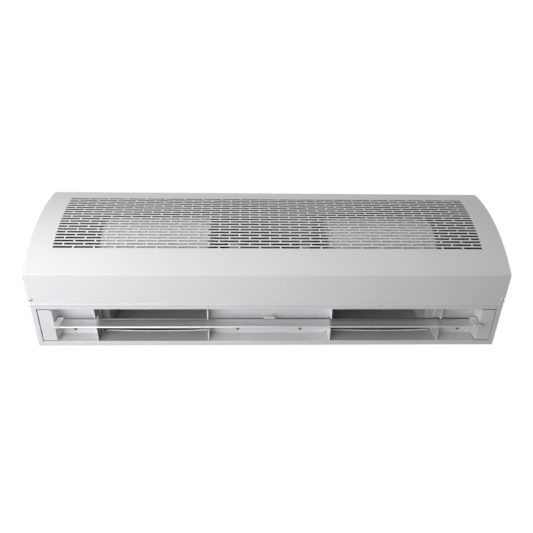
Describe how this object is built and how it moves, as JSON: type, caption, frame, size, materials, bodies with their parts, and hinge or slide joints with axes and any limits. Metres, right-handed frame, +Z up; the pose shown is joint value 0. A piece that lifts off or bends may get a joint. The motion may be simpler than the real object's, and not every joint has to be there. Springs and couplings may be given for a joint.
{
  "type": "air curtain",
  "caption": "Wall-mounted air curtain: slotted bow front, open outlet with a tilting vane, centrifugal blowers on one motor shaft, hung on a hooked wall plate.",
  "frame": {"origin": "centre of the four wall holes, on the wall plate's face that lies against the wall", "axes": "+X along the unit's length, +Y into the wall, +Z up; the bow front faces -Y and the outlet faces -Z"},
  "size_m": [0.9, 0.24, 0.2377],
  "materials": {
    "white_paint": "satin white powder coat",
    "tray_paint": "satin white powder coat",
    "zinc_sheet": "galvanised sheet",
    "housing_sheet": "galvanised sheet, satin",
    "zinc_green": "yellow-green zinc passivate",
    "vane_metal": "satin extruded aluminium",
    "cream_plastic": "cream moulded plastic",
    "black_plastic": "matte black",
    "impeller_sheet": "galvanised sheet",
    "hub_metal": "die cast",
    "bright_steel": "bright zinc plate",
    "brass_screw": "yellow passivate, aged",
    "shaft_steel": "ground steel",
    "core_steel": "stacked laminations",
    "winding_copper": "enamelled copper",
    "motor_paint": "semi-gloss grey-green paint",
    "bronze": "sintered bronze",
    "black_rubber": "matte",
    "box_grey": "matte grey paint",
    "ivory_plastic": "moulded",
    "white_plastic": "moulded",
    "lead_sleeve": "flexible sleeve"
  },
  "bodies": {
    "casing": {"front_casing": "white_paint", "top_panel": "white_paint", "rear_panel": "zinc_sheet", "end_panel_left": "white_paint", "end_panel_right": "white_paint", "outlet_tray": "tray_paint", "end_bracket_left": "tray_paint", "end_bracket_right": "tray_paint", "vane_bush_left": "black_plastic", "vane_bush_right": "black_plastic", "vane_hanger": "cream_plastic", "scroll_left": "housing_sheet", "scroll_right": "housing_sheet", "side_plate_left_outer": "housing_sheet", "side_plate_left_inner": "housing_sheet", "side_plate_right_inner": "housing_sheet", "side_plate_right_outer": "housing_sheet", "inlet_ring_left_outer": "housing_sheet", "inlet_ring_left_inner": "housing_sheet", "inlet_ring_right_inner": "housing_sheet", "inlet_ring_right_outer": "housing_sheet", "housing_foot_left": "zinc_sheet", "housing_foot_right": "zinc_sheet", "stator_core": "core_steel", "stator_windings": "winding_copper", "motor_shell": "motor_paint", "end_shield_left": "motor_paint", "end_shield_right": "motor_paint", "bearing_left": "bronze", "bearing_right": "bronze", "motor_ring_left": "black_rubber", "motor_ring_right": "black_rubber", "motor_strap_left": "zinc_green", "motor_strap_right": "zinc_green", "motor_bracket_left": "zinc_green", "motor_bracket_right": "zinc_green", "terminal_box": "box_grey", "terminal_cover": "box_grey", "terminal_block": "ivory_plastic", "capacitor": "white_plastic", "capacitor_clip": "bright_steel", "motor_lead": "lead_sleeve", "cable_grommet": "black_rubber", "wall_plate": "zinc_sheet", "casing_screws": "bright_steel", "tray_screws": "brass_screw", "strap_screws": "bright_steel", "earth_screw": "brass_screw"},
    "rotor": {"motor_shaft": "shaft_steel", "shaft_collars": "bright_steel", "rotor_core": "core_steel", "impeller_left": "impeller_sheet", "impeller_right": "impeller_sheet", "hub_left": "hub_metal", "hub_right": "hub_metal", "hub_screws": "bright_steel"},
    "vane": {"vane_blade": "vane_metal", "vane_cap_left": "cream_plastic", "vane_cap_right": "cream_plastic"}
  },
  "joints": [
    {"name": "rotor_spin", "type": "hinge", "parent": "casing", "child": "rotor", "pos_m": [0, -0.12358, -0.03302], "axis": [1, 0, 0], "continuous": true},
    {"name": "vane_tilt", "type": "hinge", "parent": "casing", "child": "vane", "pos_m": [0, -0.054, -0.131], "axis": [1, 0, 0], "range_deg": [-22, 40]}
  ]
}
